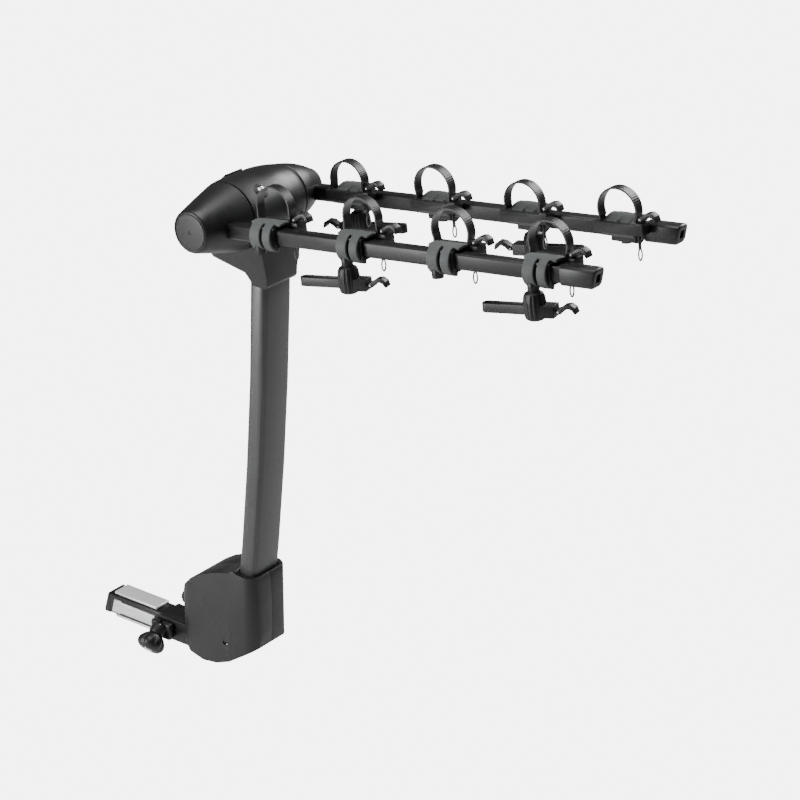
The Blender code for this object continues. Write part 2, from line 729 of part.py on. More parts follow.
def cradle_mesh(side, mat):
    """Body round the arm, with a shelf and a buckle block on the inner side for the strap."""
    inner_low = -side * (STRAP_INSET - STRAP_WIDE / 2 - GAP)
    inner_high = -side * (STRAP_INSET + STRAP_WIDE / 2 + GAP)
    ear = -side * (STRAP_INSET + STRAP_WIDE / 2 + 5.0)
    shelf = STRAP_HALF - STRAP_THICK - GAP
    buckle = STRAP_HALF + GAP

    core = build("cradle_core", mat, lambda bm: add_box(
        bm, (-PAD_HALF, -15.4, -17.0), (PAD_HALF, 15.4, 16.2)))
    lobes = [cutter("cradle_lobe", lambda bm: draw_lobe(bm, side, ends)) for ends in LOBES]

    def strap_seat(bm):
        outline = [(-shelf, inner_low), (shelf, inner_low), (shelf, inner_high),
                   (buckle, inner_high), (buckle, inner_low), (buckle + 13.0, inner_low),
                   (buckle + 13.0, ear), (-buckle - 6.0, ear), (-buckle - 6.0, inner_low),
                   (-buckle, inner_low), (-buckle, inner_high), (-shelf, inner_high)]
        extrude_outline(bm, outline, "Z", 1.0, 16.6)
    seat = cutter("cradle_seat", strap_seat)
    boss = cutter("cradle_boss", lambda bm: cylinder(
        bm, (SWAY_AXIS[0], SWAY_AXIS[1] * side, 0), 9.0, "Z", SWAY_TOP + GAP, -14.0, 16))
    bore = cutter("cradle_bore", lambda bm: loft(bm, arm_rings(GAP, -60.0, 60.0)))
    y_low, y_high = sorted((inner_low, ear))
    block = cutter("cradle_block", lambda bm: add_box(
        bm, (buckle, y_low, 1.0), (buckle + 13.0, y_high, BUCKLE_TOP)))
    cap_room = cutter("cradle_cap_room", lambda bm: loft(
        bm, arm_rings(CAP_WALL + 2 * GAP, STRAP_HALF - 2.0, 70.0)))
    joined = lobes + [seat, boss, block]
    for tool in joined:
        cut(core, tool, "UNION")
    for tool in (bore, cap_room):
        cut(core, tool)
    mesh = evaluated_mesh(core, "cradle")
    for tool in joined + [bore, cap_room]:
        bpy.data.objects.remove(tool, do_unlink=True)
    return mesh


def draw_lobe(bm, side, ends):
    """One saddle lobe: over the top, round the outer side and under the arm."""
    curve = arc((0.0, 0.0), PAD_R, -82.0, 56.0, 7)
    outline = [(-29.0, 6.0), (0.0, 6.0), (0.0, -15.0)] + curve + [(2.0, 21.6), (-14.0, 21.0),
                                                                  (-29.0, 15.0)]
    loft(bm, [[(x, side * y, z) for y, z in outline] for x in ends])


def strap_path(ring):
    """Middle line of a strap: up from one foot, over the bicycle's tube and down to the other."""
    radius, top, lean = ring
    foot = STRAP_HALF - STRAP_THICK / 2
    middle = radius - STRAP_THICK / 2
    centre = top - radius
    drop = 20.0 if middle > foot + 0.5 else 4.0
    path = [(-foot, STRAP_FOOT), (-foot, BUCKLE_TOP + 1.5)]
    path += arc((lean, centre), middle, 180.0 + drop, -drop, 14)
    path += [(foot, BUCKLE_TOP + 1.5), (foot, STRAP_FOOT)]
    return path


def strap_mesh(ring, side, mat):
    """One strap with its tail and pull ring, in the cradle's own frame."""
    low = -side * (STRAP_INSET - STRAP_WIDE / 2)
    high = -side * (STRAP_INSET + STRAP_WIDE / 2)
    tail_y = -side * STRAP_INSET
    tail_x = STRAP_HALF - STRAP_THICK / 2
    strap = build("strap_band", mat, lambda bm: band(
        bm, strap_path(ring), low, high, STRAP_THICK))
    tail = cutter("strap_tail", lambda bm: add_box(
        bm, (tail_x - 1.3, tail_y - TAIL_WIDE / 2 + 0.1, -24.0),
        (tail_x + 1.3, tail_y + TAIL_WIDE / 2 - 0.1, STRAP_FOOT + 8.0)))
    pull = cutter("strap_ring", lambda bm: ring_loop(
        bm, (tail_x, tail_y, -32.5), 5.0, 10.0, 2.2))
    for tool in (tail, pull):
        cut(strap, tool, "UNION")
    mesh = evaluated_mesh(strap, "strap")
    for tool in (tail, pull):
        bpy.data.objects.remove(tool, do_unlink=True)
    return mesh


def ring_loop(bm, centre, half_y, half_z, thick):
    """A flat pull ring standing in the YZ plane."""
    steps = 12
    rings = []
    for x, shrink in ((-thick / 2, 0.0), (thick / 2, 0.0), (thick / 2, 2.2), (-thick / 2, 2.2)):
        ring = []
        for i in range(steps):
            angle = 2 * math.pi * i / steps
            ring.append((centre[0] + x, centre[1] + (half_y - shrink) * math.cos(angle),
                         centre[2] + (half_z - shrink) * math.sin(angle) + 0.7))
        rings.append(ring)
    loft(bm, rings, closed=True)


def latch_mesh():
    """Ratchet lever: a short curved plate that lifts about the pin over the buckle block."""
    bm = bmesh.new()
    outline = [(-3.5, -3.0), (3.0, -3.8), (9.0, 2.0), (15.0, 5.2), (20.5, 3.4), (25.0, -2.6),
               (28.0, -2.0), (25.5, 7.0), (18.0, 11.6), (9.5, 10.2), (2.0, 5.0), (-3.5, 3.0)]
    extrude_outline(bm, outline, "Y", -7.5, 7.5)
    return mesh_from(bm, "latch")


def sway_frame(side, name, index):
    """Swivel frame under a cradle: near ones reach back, far ones reach forward."""
    turn = SWAY_TURN if name == "near" else math.pi + SWAY_TURN
    drop = spot(SWAY_AXIS[0], SWAY_AXIS[1] * side, SWAY_TOP)
    return cradle_frame(side, index) @ drop @ Matrix.Rotation(turn, 4, "Z")


def sway_cage_mesh(mat):
    """Domed swivel body with a pad seat at the back and a buckle block at the front."""
    def dome(bm):
        profile = [(0.0, 0.0), (0.0, 9.0), (-3.0, 13.5), (-8.0, 15.5), (-18.0, 16.5),
                   (-38.0, 15.0), (-43.0, 11.0), (-43.0, 0.0)]
        turn_profile(bm, profile, segments=20, axis="Z")
    body = build("sway_dome", mat, dome)
    block = cutter("sway_block", lambda bm: add_box(bm, (5.0, -11.5, -37.0), (33.0, 11.5, -19.0)))
    strap = cutter("sway_strap", sway_loop)
    for tool in (block, strap):
        cut(body, tool, "UNION")
    mesh = evaluated_mesh(body, "sway_cage")
    for tool in (block, strap):
        bpy.data.objects.remove(tool, do_unlink=True)
    return mesh


def sway_loop(bm):
    """A narrow upright loop of strap held behind the dome."""
    low, high = -34.5, -20.5
    outer = [(-10.0, 8.0)] + arc((-74.0, 0.0), 8.0, 90.0, 270.0, 8) + [(-10.0, -8.0)]
    inner = [(-19.0, 5.2)] + arc((-74.0, 0.0), 5.2, 90.0, 270.0, 8) + [(-19.0, -5.2)]
    loft(bm, [[(x, y, low) for x, y in outer], [(x, y, high) for x, y in outer],
              [(x, y, high) for x, y in inner], [(x, y, low) for x, y in inner]], closed=True)


def make_sway(mats):
    cage = sway_cage_mesh(mats["plastic"])
    latch = latch_mesh()
    for name, side in SIDES.items():
        for index in SWAY_AT[name]:
            number = str(index + 1)
            frame = sway_frame(side, name, index)
            place(name + "_sway_cage_" + number, cage, mats["plastic"], frame)
            place(name + "_sway_latch_" + number, latch, mats["plastic"],
                  frame @ spot(38.2, 0, -28.0))


def make_cradles(mats):
    latch = latch_mesh()
    for name, side in SIDES.items():
        cradle = cradle_mesh(side, mats["plastic"])
        for index in range(CRADLE_COUNT):
            strap = strap_mesh(STRAP_RINGS[name][index], side, mats["strap"])
            frame = cradle_frame(side, index)
            number = str(index + 1)
            place(name + "_cradle_" + number, cradle, mats["plastic"], frame)
            place(name + "_strap_" + number, strap, mats["strap"], frame)
            middle = -side * STRAP_INSET
            place(name + "_latch_" + number, latch, mats["plastic"],
                  frame @ spot(LATCH_PIVOT[0], middle, LATCH_PIVOT[1]))


# ---------------------------------------------------------------- assembly

def make_rack():
    clear_scene()
    make_origin()
    mats = {
        "black": material("powder_coat_black", (0.016, 0.017, 0.019), 0.5),
        "satin": material("satin_charcoal", (0.045, 0.047, 0.05), 0.38),
        "plastic": material("moulded_black", (0.022, 0.023, 0.025), 0.55),
        "strap": material("strap_black", (0.012, 0.012, 0.013), 0.45),
        "zinc": material("bright_zinc", (0.75, 0.76, 0.77), 0.3, 1.0),
        "chrome": material("chrome", (0.85, 0.85, 0.86), 0.12, 1.0),
    }
    make_tongue(mats["black"], mats["zinc"], mats["plastic"])
    make_wedge(mats["zinc"])
    make_base_bracket(mats["black"], mats["zinc"])
    make_knob(mats["plastic"], mats["zinc"], mats["chrome"])
    make_knob_housing(mats["plastic"])
    make_mast(mats["satin"])
    make_mast_foot(mats["black"])
    make_shroud(mats["plastic"])
    make_tilt_lever(mats["plastic"])
    make_head_bracket(mats["black"])
    make_head_housing(mats["plastic"])
    make_head_lock(mats["chrome"])
    make_fold_lever(mats["plastic"])
    make_hubs(mats["plastic"], mats["zinc"])
    for name, side in SIDES.items():
        make_arm(name, side, mats["black"])
    make_end_caps(mats["plastic"])
    make_cradles(mats)
    make_sway(mats)


make_rack()
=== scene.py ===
"""A hitch mounted bike rack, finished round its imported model: tongue, mast, head, two arms."""
import json
import math

import bpy
from mathutils import Matrix, Vector


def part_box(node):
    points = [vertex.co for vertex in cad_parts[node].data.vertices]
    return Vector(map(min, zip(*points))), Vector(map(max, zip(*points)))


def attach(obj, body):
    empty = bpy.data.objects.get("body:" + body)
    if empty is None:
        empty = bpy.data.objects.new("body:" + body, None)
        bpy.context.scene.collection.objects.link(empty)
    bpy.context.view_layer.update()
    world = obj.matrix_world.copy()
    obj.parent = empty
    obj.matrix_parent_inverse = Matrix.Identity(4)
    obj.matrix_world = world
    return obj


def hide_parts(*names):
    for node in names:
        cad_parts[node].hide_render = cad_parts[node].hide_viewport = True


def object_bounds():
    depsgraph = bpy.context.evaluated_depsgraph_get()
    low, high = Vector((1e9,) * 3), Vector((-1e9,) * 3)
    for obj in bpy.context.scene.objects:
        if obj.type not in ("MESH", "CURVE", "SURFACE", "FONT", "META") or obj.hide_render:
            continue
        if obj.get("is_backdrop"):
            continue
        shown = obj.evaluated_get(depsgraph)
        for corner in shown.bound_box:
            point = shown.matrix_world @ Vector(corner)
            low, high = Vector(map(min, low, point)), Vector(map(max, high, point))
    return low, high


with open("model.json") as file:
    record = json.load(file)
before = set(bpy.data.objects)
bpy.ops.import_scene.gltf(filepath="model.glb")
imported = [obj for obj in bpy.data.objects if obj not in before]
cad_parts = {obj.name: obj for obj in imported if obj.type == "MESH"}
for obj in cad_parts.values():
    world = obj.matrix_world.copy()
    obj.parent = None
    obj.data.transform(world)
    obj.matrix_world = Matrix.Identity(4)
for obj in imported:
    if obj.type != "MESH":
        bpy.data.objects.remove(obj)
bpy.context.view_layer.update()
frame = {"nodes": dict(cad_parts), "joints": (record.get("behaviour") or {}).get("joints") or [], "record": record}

# ---------------------------------------------------------------- Camera
# A long lens from the near side, beyond the arms' free ends, that looks down on the rack. It
# aims along one azimuth and elevation from a fixed place.
eye = (2.8579, -3.0450, 2.2822)
azimuth = math.radians(37.44)
elevation = math.radians(24.15)
back = Vector((math.sin(azimuth) * math.cos(elevation),
               -math.cos(azimuth) * math.cos(elevation), math.sin(elevation)))
camera_data = bpy.data.cameras.new("camera")
camera_data.lens = 120.3
camera_data.clip_end = 60.0
camera = bpy.data.objects.new("camera", camera_data)
camera.location = eye
camera.rotation_euler = back.to_track_quat("Z", "Y").to_euler()
bpy.context.scene.collection.objects.link(camera)
bpy.context.scene.camera = camera

# ---------------------------------------------------------------- Studio
# A pale floor well below the rack, which hangs from its tongue, and soft white boxes of light
# round it. The floor glows for the camera's rays only, so that no shadow shows on it.
bpy.ops.object.select_all(action="DESELECT")
floor_height = -0.42
bpy.ops.mesh.primitive_plane_add(size=60.0, location=(0.0, 0.0, floor_height))
floor = bpy.context.object
floor.name = "studio_floor"
floor_paint = bpy.data.materials.new("floor_paint")
floor_paint.use_nodes = True
floor_nodes = floor_paint.node_tree.nodes
floor_shader = floor_nodes["Principled BSDF"]
floor_shader.inputs["Base Color"].default_value = (0.8, 0.8, 0.8, 1.0)
floor_shader.inputs["Roughness"].default_value = 0.9
glow = floor_nodes.new("ShaderNodeEmission")
glow.inputs["Color"].default_value = (1.0, 1.0, 1.0, 1.0)
glow.inputs["Strength"].default_value = 6.0
seen = floor_nodes.new("ShaderNodeLightPath")
either = floor_nodes.new("ShaderNodeMixShader")
floor_links = floor_paint.node_tree.links
floor_links.new(seen.outputs["Is Camera Ray"], either.inputs["Fac"])
floor_links.new(floor_shader.outputs["BSDF"], either.inputs[1])
floor_links.new(glow.outputs["Emission"], either.inputs[2])
floor_links.new(either.outputs["Shader"], floor_nodes["Material Output"].inputs["Surface"])
floor.data.materials.append(floor_paint)
floor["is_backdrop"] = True

world = bpy.data.worlds.new("studio_air")
bpy.context.scene.world = world
world.use_nodes = True
world.node_tree.nodes["Background"].inputs["Color"].default_value = (1.0, 1.0, 1.0, 1.0)
world.node_tree.nodes["Background"].inputs["Strength"].default_value = 0.13


def soft_box(name, place, aim, size, watts):
    """A rectangular soft light at a place, turned to its aim."""
    light = bpy.data.lights.new(name, "AREA")
    light.shape = "RECTANGLE"
    light.size = size[0]
    light.size_y = size[1]
    light.energy = watts
    lamp = bpy.data.objects.new(name, light)
    lamp.location = place
    lamp.rotation_euler = (Vector(place) - Vector(aim)).to_track_quat("Z", "Y").to_euler()
    bpy.context.scene.collection.objects.link(lamp)


middle = Vector((0.45, 0.0, 0.5))
soft_box("box_left", (-1.3, -2.9, 1.1), middle, (1.0, 2.4), 125.0)
soft_box("box_top", (0.3, -0.2, 3.2), middle, (1.8, 1.8), 60.0)
soft_box("box_back", (0.9, 2.8, 2.4), middle, (2.0, 1.0), 110.0)


# ---------------------------------------------------------------- Black steel
# Tongue tube, tilt bracket, mast foot, head bracket and arm tubes are welded steel under a black
# powder coat, which has a fine orange peel and wears a little paler along its edges.
MM = 0.001


def new_group(name, inputs, outputs):
    """An empty shader node group with its sockets, and its two end nodes."""
    group = bpy.data.node_groups.new(name, "ShaderNodeTree")
    for label, kind, value in inputs:
        socket = group.interface.new_socket(label, in_out="INPUT", socket_type=kind)
        socket.default_value = value
    for label, kind in outputs:
        group.interface.new_socket(label, in_out="OUTPUT", socket_type=kind)
    ends = (group.nodes.new("NodeGroupInput"), group.nodes.new("NodeGroupOutput"))
    return group, ends[0], ends[1]


def make_grain_group():
    """Fine surface grain: a colour that shifts slowly, a roughness, and a small relief."""
    group, given, made = new_group(
        "surface_grain",
        [("Colour", "NodeSocketColor", (0.02, 0.02, 0.02, 1.0)),
         ("Shift", "NodeSocketFloat", 0.2), ("Grain Scale", "NodeSocketFloat", 900.0),
         ("Roughness", "NodeSocketFloat", 0.5), ("Roughness Spread", "NodeSocketFloat", 0.08)],
        [("Colour", "NodeSocketColor"), ("Roughness", "NodeSocketFloat"),
         ("Height", "NodeSocketFloat")])
    nodes, links = group.nodes, group.links
    where = nodes.new("ShaderNodeTexCoord")
    cloud = nodes.new("ShaderNodeTexNoise")
    cloud.inputs["Scale"].default_value = 14.0
    cloud.inputs["Detail"].default_value = 5.0
    fine = nodes.new("ShaderNodeTexNoise")
    fine.inputs["Detail"].default_value = 3.0
    cells = nodes.new("ShaderNodeTexVoronoi")
    swing = nodes.new("ShaderNodeMapRange")
    swing.inputs["To Min"].default_value = -1.0
    swing.inputs["From Min"].default_value = 0.3
    swing.inputs["From Max"].default_value = 0.7
    gain = nodes.new("ShaderNodeMath")
    gain.operation = "MULTIPLY_ADD"
    gain.inputs[2].default_value = 1.0
    tint = nodes.new("ShaderNodeVectorMath")
    tint.operation = "SCALE"
    spread = nodes.new("ShaderNodeMath")
    spread.operation = "MULTIPLY_ADD"
    relief = nodes.new("ShaderNodeMath")
    relief.operation = "MULTIPLY_ADD"
    relief.inputs[1].default_value = 0.6
    for texture in (cloud, fine, cells):
        links.new(where.outputs["Object"], texture.inputs["Vector"])
    links.new(given.outputs["Grain Scale"], fine.inputs["Scale"])
    links.new(given.outputs["Grain Scale"], cells.inputs["Scale"])
    links.new(cloud.outputs["Fac"], swing.inputs["Value"])
    links.new(swing.outputs["Result"], gain.inputs[0])
    links.new(given.outputs["Shift"], gain.inputs[1])
    links.new(given.outputs["Colour"], tint.inputs[0])
    links.new(gain.outputs["Value"], tint.inputs["Scale"])
    links.new(tint.outputs["Vector"], made.inputs["Colour"])
    links.new(swing.outputs["Result"], spread.inputs[0])
    links.new(given.outputs["Roughness Spread"], spread.inputs[1])
    links.new(given.outputs["Roughness"], spread.inputs[2])
    links.new(spread.outputs["Value"], made.inputs["Roughness"])
    links.new(cells.outputs["Distance"], relief.inputs[0])
    links.new(fine.outputs["Fac"], relief.inputs[2])
    links.new(relief.outputs["Value"], made.inputs["Height"])
    return group


def make_rub_group():
    """Rubbed edges: how far a surface turns within a small radius, broken up by noise."""
    group, given, made = new_group(
        "rubbed_edges",
        [("Colour", "NodeSocketColor", (0.02, 0.02, 0.02, 1.0)),
         ("Edge Colour", "NodeSocketColor", (0.1, 0.1, 0.1, 1.0)),
         ("Amount", "NodeSocketFloat", 0.3)],
        [("Colour", "NodeSocketColor"), ("Mask", "NodeSocketFloat")])
    nodes, links = group.nodes, group.links
    round_off = nodes.new("ShaderNodeBevel")
    round_off.inputs["Radius"].default_value = 0.0012
    round_off.samples = 4
    surface = nodes.new("ShaderNodeNewGeometry")
    turn = nodes.new("ShaderNodeVectorMath")
    turn.operation = "DOT_PRODUCT"
    edge = nodes.new("ShaderNodeMapRange")
    edge.inputs["From Min"].default_value = 0.995
    edge.inputs["From Max"].default_value = 0.86
    where = nodes.new("ShaderNodeTexCoord")
    flecks = nodes.new("ShaderNodeTexNoise")
    flecks.inputs["Scale"].default_value = 160.0
    flecks.inputs["Detail"].default_value = 4.0
    broken = nodes.new("ShaderNodeMapRange")
    broken.inputs["From Min"].default_value = 0.42
    broken.inputs["From Max"].default_value = 0.62
    both = nodes.new("ShaderNodeMath")
    both.operation = "MULTIPLY"
    share = nodes.new("ShaderNodeMath")
    share.operation = "MULTIPLY"
    blend = nodes.new("ShaderNodeMix")
    blend.data_type = "RGBA"
    links.new(round_off.outputs["Normal"], turn.inputs[0])
    links.new(surface.outputs["Normal"], turn.inputs[1])
    links.new(turn.outputs["Value"], edge.inputs["Value"])
    links.new(where.outputs["Object"], flecks.inputs["Vector"])
    links.new(flecks.outputs["Fac"], broken.inputs["Value"])
    links.new(edge.outputs["Result"], both.inputs[0])
    links.new(broken.outputs["Result"], both.inputs[1])
    links.new(both.outputs["Value"], share.inputs[0])
    links.new(given.outputs["Amount"], share.inputs[1])
    links.new(share.outputs["Value"], blend.inputs["Factor"])
    links.new(given.outputs["Colour"], blend.inputs["A"])
    links.new(given.outputs["Edge Colour"], blend.inputs["B"])
    links.new(blend.outputs["Result"], made.inputs["Colour"])
    links.new(share.outputs["Value"], made.inputs["Mask"])
    return group


surface_grain = make_grain_group()
rubbed_edges = make_rub_group()


def finish_material(name, colour, roughness, grain_scale, grain_depth, shift=0.2, spread=0.07,
                    metallic=0.0, rub=0.25, edge_colour=(0.09, 0.092, 0.095)):
    """A material with grained colour, roughness and relief, rubbed paler along its edges."""
    material = bpy.data.materials.new(name)
    material.use_nodes = True
    nodes, links = material.node_tree.nodes, material.node_tree.links
    shader = nodes["Principled BSDF"]
    shader.inputs["Metallic"].default_value = metallic
    grain = nodes.new("ShaderNodeGroup")
    grain.node_tree = surface_grain
    grain.inputs["Colour"].default_value = (*colour, 1.0)
    grain.inputs["Shift"].default_value = shift
    grain.inputs["Grain Scale"].default_value = grain_scale
    grain.inputs["Roughness"].default_value = roughness
    grain.inputs["Roughness Spread"].default_value = spread
    worn = nodes.new("ShaderNodeGroup")
    worn.node_tree = rubbed_edges
    worn.inputs["Edge Colour"].default_value = (*edge_colour, 1.0)
    worn.inputs["Amount"].default_value = rub
    bump = nodes.new("ShaderNodeBump")
    bump.inputs["Strength"].default_value = 1.0
    bump.inputs["Distance"].default_value = grain_depth * MM
    links.new(grain.outputs["Colour"], worn.inputs["Colour"])
    links.new(worn.outputs["Colour"], shader.inputs["Base Color"])
    links.new(grain.outputs["Roughness"], shader.inputs["Roughness"])
    links.new(grain.outputs["Height"], bump.inputs["Height"])
    links.new(bump.outputs["Normal"], shader.inputs["Normal"])
    return material


black_coat = finish_material("black_powder_coat", (0.0045, 0.0047, 0.0051), 0.40, 700.0, 0.03)
joint_named = {joint["name"]: joint for joint in frame["joints"]}
bodies = frame["record"]["behaviour"]["bodies"]
body_named = {node: body for body, members in bodies.items() for node in members}


def only(piece):
    """Selects one piece and nothing else."""
    bpy.ops.object.select_all(action="DESELECT")
    bpy.context.view_layer.objects.active = piece
    piece.select_set(True)


def round_edges(piece, width, segments=3, angle=30.0):
    """Rounds the edges that turn by more than an angle, by a width in mm."""
    only(piece)
    modifier = piece.modifiers.new("edges", "BEVEL")
    modifier.width = width * MM
    modifier.segments = segments
    modifier.limit_method = "ANGLE"
    modifier.angle_limit = math.radians(angle)
    bpy.ops.object.modifier_apply(modifier="edges")


def fit(piece, material, body, nodes=(), angle=35.0):
    """Paints a finished piece, shades it smooth, and hands it to the body that it is fixed to."""
    if not piece.data.materials:
        piece.data.materials.append(material)
    only(piece)
    bpy.ops.object.shade_smooth_by_angle(angle=math.radians(angle))
    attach(piece, body)
    if nodes:
        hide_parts(*nodes)
    return piece


def refine(node, material, width=0.8, segments=3, angle=30.0):
    """A finished copy of a plain solid: faces made whole again and edges eased."""
    mesh = frame["nodes"][node].data.copy()
    mesh.materials.clear()
    piece = bpy.data.objects.new(node + "_finished", mesh)
    bpy.context.scene.collection.objects.link(piece)
    only(piece)
    bpy.ops.object.mode_set(mode="EDIT")
    bpy.ops.mesh.select_all(action="SELECT")
    bpy.ops.mesh.remove_doubles(threshold=0.00002)
    bpy.ops.mesh.dissolve_limited(angle_limit=math.radians(0.8))
    bpy.ops.mesh.normals_make_consistent(inside=False)
    bpy.ops.object.mode_set(mode="OBJECT")
    if width > 0.0:
        round_edges(piece, width, segments, angle)
    return fit(piece, material, body_named[node], [node])


for node in ("tongue_tube", "base_bracket", "mast_foot", "head_bracket"):
    refine(node, black_coat, 1.0)
for node in ("near_arm_tube", "far_arm_tube"):
    refine(node, black_coat, 1.0, 2, 20.0)

# ---------------------------------------------------------------- Adapter plates and bolts
# Bright zinc plates that fill the tongue out to the receiver, the wedge plate among them, with
# the pivot bolt, the draw bolt and the cross shaft. Their finish is only part metallic, so that
# it stays bright where little light is mirrored.
bright_zinc = finish_material("bright_zinc", (0.80, 0.81, 0.82), 0.34, 500.0, 0.012, 0.06, 0.08,
                              0.4, 0.2, (0.95, 0.95, 0.95))
for node in ("upper_adapter_plate", "lower_adapter_plate", "wedge_plate", "tilt_pivot_bolt",
             "cross_shaft", "draw_bolt"):
    refine(node, bright_zinc, 0.4, 2)

# ---------------------------------------------------------------- Tongue cap and knob sleeve
# Moulded black pieces with a fine spark texture: the cap in the tongue's end, the sleeve between
# the tongue and the knob, and the pedal that frees the tilt.
black_plastic = finish_material("moulded_black", (0.0075, 0.0078, 0.0081), 0.42, 1100.0, 0.05,
                                0.22, 0.08, 0.0, 0.18, (0.05, 0.051, 0.052))
refine("tongue_end_cap", black_plastic, 1.0)
refine("knob_housing", black_plastic, 1.2)
refine("tilt_release_lever", black_plastic, 0.8)

# ---------------------------------------------------------------- Tightening knob
# A round moulded knob with shallow finger flutes, pressed on the head of the draw bolt. A key
# cylinder sits in its face.


def turned(name, profile, place, steps=96, flutes=0, depth=0.0, span=None):
    """Turns a closed profile of (along, radius) points round its own axis, along +Z."""
    bpy.ops.object.select_all(action="DESELECT")
    bpy.ops.mesh.primitive_circle_add(vertices=len(profile), fill_type="NOTHING")
    piece = bpy.context.object
    piece.name = name
    for vertex, (along, radius) in zip(piece.data.vertices, profile):
        vertex.co = (radius * MM, 0.0, along * MM)
    bpy.ops.object.mode_set(mode="EDIT")
    bpy.ops.mesh.select_all(action="SELECT")
    bpy.ops.mesh.spin(steps=steps, angle=math.tau, center=(0.0, 0.0, 0.0), axis=(0.0, 0.0, 1.0))
    bpy.ops.mesh.select_all(action="SELECT")
    bpy.ops.mesh.remove_doubles(threshold=0.000005)
    bpy.ops.mesh.dissolve_degenerate(threshold=0.000001)
    bpy.ops.mesh.delete_loose()
    bpy.ops.mesh.select_all(action="SELECT")
    bpy.ops.mesh.normals_make_consistent(inside=False)
    bpy.ops.object.mode_set(mode="OBJECT")
    if flutes:
        for vertex in piece.data.vertices:
            along, across = vertex.co.z / MM, Vector((vertex.co.x, vertex.co.y))
            if span[0] < along < span[1] and across.length > span[2] * MM:
                wave = math.cos(flutes * math.atan2(across.y, across.x))
                size = across.length - depth * MM * max(0.0, wave)
                across = across.normalized() * size
                vertex.co.x, vertex.co.y = across
    piece.data.transform(place)
    return piece


def facing(point, direction, roll=(1.0, 0.0, 0.0)):
    """A frame whose +Z points along a direction, at a point in metres."""
    forward = Vector(direction).normalized()
    side = Vector(roll) - forward * forward.dot(Vector(roll))
    side.normalize()
    turn = Matrix((side, forward.cross(side), forward)).transposed().to_4x4()
    return Matrix.Translation(Vector(point)) @ turn


knob_joint = joint_named["knob_turn"]
knob_frame = facing(knob_joint["pos_m"], knob_joint["axis"])
knob = turned("knob_ball", [(-15.0, 5.4), (-15.0, 12.0), (-13.5, 14.5), (-10.0, 18.4), (-6.0, 21.6),
                            (-1.5, 24.0), (3.0, 24.9), (7.0, 24.4), (10.5, 22.4), (13.2, 19.4),
                            (14.8, 16.0), (15.0, 14.0), (14.2, 12.6), (14.2, 10.4), (15.0, 9.6),
                            (15.0, 8.6), (1.0, 8.6), (1.0, 5.4)],
              knob_frame, 96, 8, 1.5, (-12.0, 12.5, 17.0))
fit(knob, black_plastic, "knob", ["tightening_knob"])
chrome = finish_material("bright_chrome", (0.86, 0.86, 0.87), 0.12, 300.0, 0.004, 0.05, 0.05, 1.0,
                         0.0)


def lock_core(name, node, body, place, radius, face):
    """A plated key cylinder: turned body, a dished face, and a thin black plug on that face that paints the shade
    of the keyway's slot.
    """
    core = turned(name, [(face - 14.0, 0.0), (face - 14.0, radius), (face - 1.6, radius),
                         (face - 0.6, radius - 0.5), (face, radius - 1.4), (face, radius - 2.2),
                         (face - 0.7, radius - 2.8), (face - 0.7, 0.0)], place, 48)
    fit(core, chrome, body, [node])
    # The keyway is not cut. A thin black plug on the dished face stands in for it and paints the shade inside the
    # slot.
    bpy.ops.object.select_all(action="DESELECT")
    bpy.ops.mesh.primitive_circle_add(vertices=12, radius=1.5 * MM, fill_type="NGON")
    keyway_shade = bpy.context.object
    keyway_shade.name = name + "_keyway"
    bpy.ops.object.mode_set(mode="EDIT")
    bpy.ops.mesh.extrude_region_move(TRANSFORM_OT_translate={"value": (0.0, 0.0, 0.5 * MM)})
    bpy.ops.mesh.select_all(action="SELECT")
    bpy.ops.transform.resize(value=(0.5, 2.1, 1.0), center_override=(0.0, 0.0, 0.0))
    bpy.ops.mesh.normals_make_consistent(inside=False)
    bpy.ops.object.mode_set(mode="OBJECT")
    keyway_shade.data.transform(place @ Matrix.Translation((0.0, 0.0, (face - 0.9) * MM)))
    fit(keyway_shade, black_plastic, body)


lock_core("knob_key_cylinder", "knob_lock_core", "knob_core", knob_frame, 8.2, 16.0)

# ---------------------------------------------------------------- Shroud
# Two moulded halves screwed together round the base. Their seam runs down the middle, and a
# recessed screw shows in each side. The mast's opening has no lip.
shroud_plastic = finish_material("shroud_plastic", (0.0085, 0.0088, 0.0089), 0.42, 900.0, 0.05,
                                 0.18, 0.08, 0.0, 0.15, (0.06, 0.061, 0.062))
for node in ("shroud_near", "shroud_far"):
    refine(node, shroud_plastic, 2.2, 4, 24.0)


def screw_head(name, point, direction, radius, body, material):
    """A pan head screw with a sunk round socket."""
    place = facing(point, direction)
    head = turned(name, [(-1.5, 0.0), (-1.5, radius), (0.6, radius), (1.6, radius * 0.86),
                         (2.1, radius * 0.6), (2.1, radius * 0.42), (0.5, radius * 0.38),
                         (0.5, 0.0)], place, 24)
    return fit(head, material, body)


for name, side in (("near", -1.0), ("far", 1.0)):
    screw_head("shroud_screw_" + name, (0.185, side * 0.0440, 0.031), (0.0, side, 0.0), 4.2,
               "mast", black_coat)

# ---------------------------------------------------------------- Mast
# One curved rectangular steel tube under a satin charcoal coat, pressed over the foot and
# welded into the head bracket.
satin_coat = finish_material("satin_charcoal", (0.052, 0.053, 0.055), 0.34, 650.0, 0.02, 0.12,
                             0.05, 0.0, 0.2, (0.12, 0.122, 0.125))
refine("mast_tube", satin_coat, 2.4, 3, 20.0)

